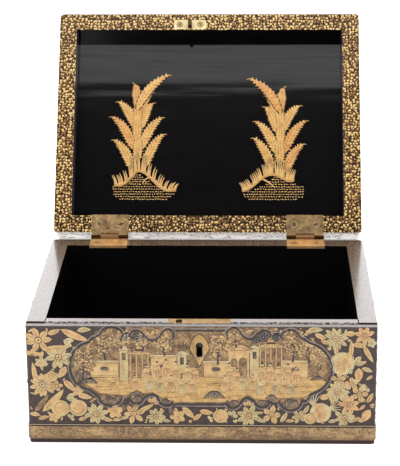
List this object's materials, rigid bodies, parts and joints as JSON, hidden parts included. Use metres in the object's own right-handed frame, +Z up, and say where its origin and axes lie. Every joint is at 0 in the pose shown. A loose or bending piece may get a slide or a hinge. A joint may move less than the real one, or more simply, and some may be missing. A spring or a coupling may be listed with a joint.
{
  "type": "lacquered deed box",
  "caption": "Wooden box for deeds and papers, black and gilt lacquer, with its lid on brass stop hinges and a cut lock in its front.",
  "frame": {"origin": "middle of the flat underside of the bottom board", "axes": "+Z up, -Y towards the front with the keyhole, +X to the right seen from the front"},
  "size_m": [0.3016, 0.3851, 0.3032],
  "materials": {
    "black_lacquer": "gloss black-brown lacquer over softwood boards",
    "gilded_lacquer": "gold painted over dark lacquer, rubbed and mottled",
    "brass": "worn satin",
    "aged_brass": "dull, tarnished",
    "steel": "filed, slightly darkened"
  },
  "bodies": {
    "box": {"front_wall": "black_lacquer", "back_wall": "black_lacquer", "left_wall": "black_lacquer", "right_wall": "black_lacquer", "bottom_board": "black_lacquer", "front_plinth": "gilded_lacquer", "back_plinth": "gilded_lacquer", "left_plinth": "gilded_lacquer", "right_plinth": "gilded_lacquer", "left_lower_leaf": "brass", "right_lower_leaf": "brass", "left_lower_screws": "aged_brass", "right_lower_screws": "aged_brass", "left_hinge_pin": "aged_brass", "right_hinge_pin": "aged_brass", "lock_plate": "brass", "lock_case": "aged_brass", "lock_cap": "brass", "drill_pin": "steel", "lock_ward": "steel", "lock_screws": "aged_brass", "keyhole_escutcheon": "brass"},
    "lid": {"lid_front_rail": "black_lacquer", "lid_back_rail": "black_lacquer", "lid_left_rail": "black_lacquer", "lid_right_rail": "black_lacquer", "lid_panel": "black_lacquer", "left_upper_leaf": "brass", "right_upper_leaf": "brass", "left_upper_screws": "aged_brass", "right_upper_screws": "aged_brass", "link_plate": "brass", "link_staple": "aged_brass", "link_plate_screws": "aged_brass"},
    "bolt": {"lock_bolt": "steel", "bolt_spring": "steel"}
  },
  "joints": [
    {"name": "lid_hinge", "type": "hinge", "parent": "box", "child": "lid", "pos_m": [0, 0.1188, 0.1091], "axis": [-1, 0, 0], "range_deg": [-123.3, 0]},
    {"name": "bolt_throw", "type": "slide", "parent": "box", "child": "bolt", "axis": [-1, 0, 0], "range_m": [0, 0.007]}
  ]
}
